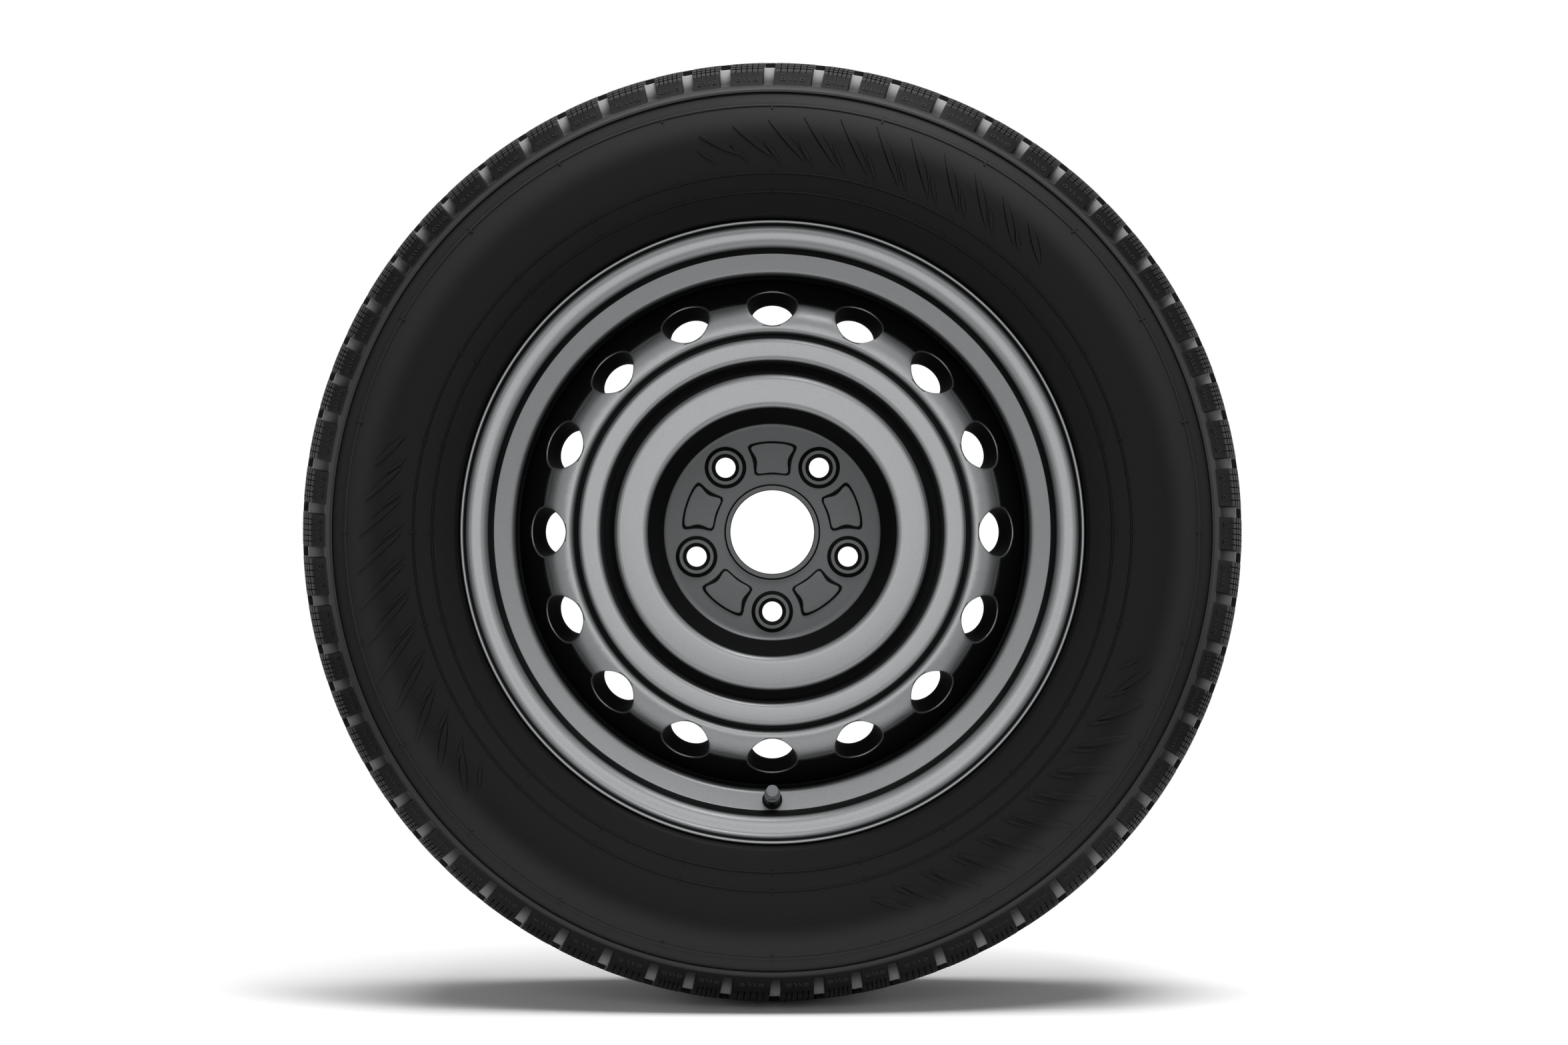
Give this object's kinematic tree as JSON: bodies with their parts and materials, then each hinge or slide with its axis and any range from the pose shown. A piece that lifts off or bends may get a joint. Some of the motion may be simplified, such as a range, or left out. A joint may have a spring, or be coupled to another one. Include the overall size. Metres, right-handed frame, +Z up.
{
  "type": "wheel and tyre assembly",
  "caption": "Pressed steel car wheel with vent holes, carrying a tubeless winter tyre with a block tread and a snap-in rubber valve with a screw cap.",
  "frame": {"origin": "on the wheel's axis, midway between the rim's flanges", "axes": "+Y along the wheel's axis towards the car, so the outer face looks along -Y, and +Z up with the valve at the bottom"},
  "size_m": [0.68, 0.22, 0.68],
  "materials": {
    "tyre_rubber": "matt moulded rubber",
    "wheel_paint": "satin dark grey paint",
    "valve_rubber": "matt moulded rubber",
    "brass": "turned brass",
    "seal_rubber": "smooth rubber",
    "spring_steel": "drawn spring wire",
    "cap_plastic": "satin moulded plastic"
  },
  "bodies": {
    "wheel": {"tyre": "tyre_rubber", "rim": "wheel_paint", "disc": "wheel_paint", "weld_beads": "wheel_paint", "valve_body": "valve_rubber", "valve_stem": "brass", "valve_core_barrel": "brass", "valve_core_gasket": "seal_rubber", "valve_core_spring": "spring_steel"},
    "cap": {"valve_cap": "cap_plastic", "valve_cap_seal": "seal_rubber"},
    "core_pin": {"valve_core_pin": "brass", "valve_core_cup_seal": "seal_rubber"}
  },
  "joints": [
    {"name": "cap_slide", "type": "slide", "parent": "wheel", "child": "cap", "axis": [0, -0.9511, 0.309], "range_m": [0, 0.025]},
    {"name": "core_pin_slide", "type": "slide", "parent": "wheel", "child": "core_pin", "axis": [0, 0.9511, -0.309], "range_m": [0, 0.0014], "stiffness_N_per_m": 600, "deforming": ["valve_core_spring"]}
  ]
}
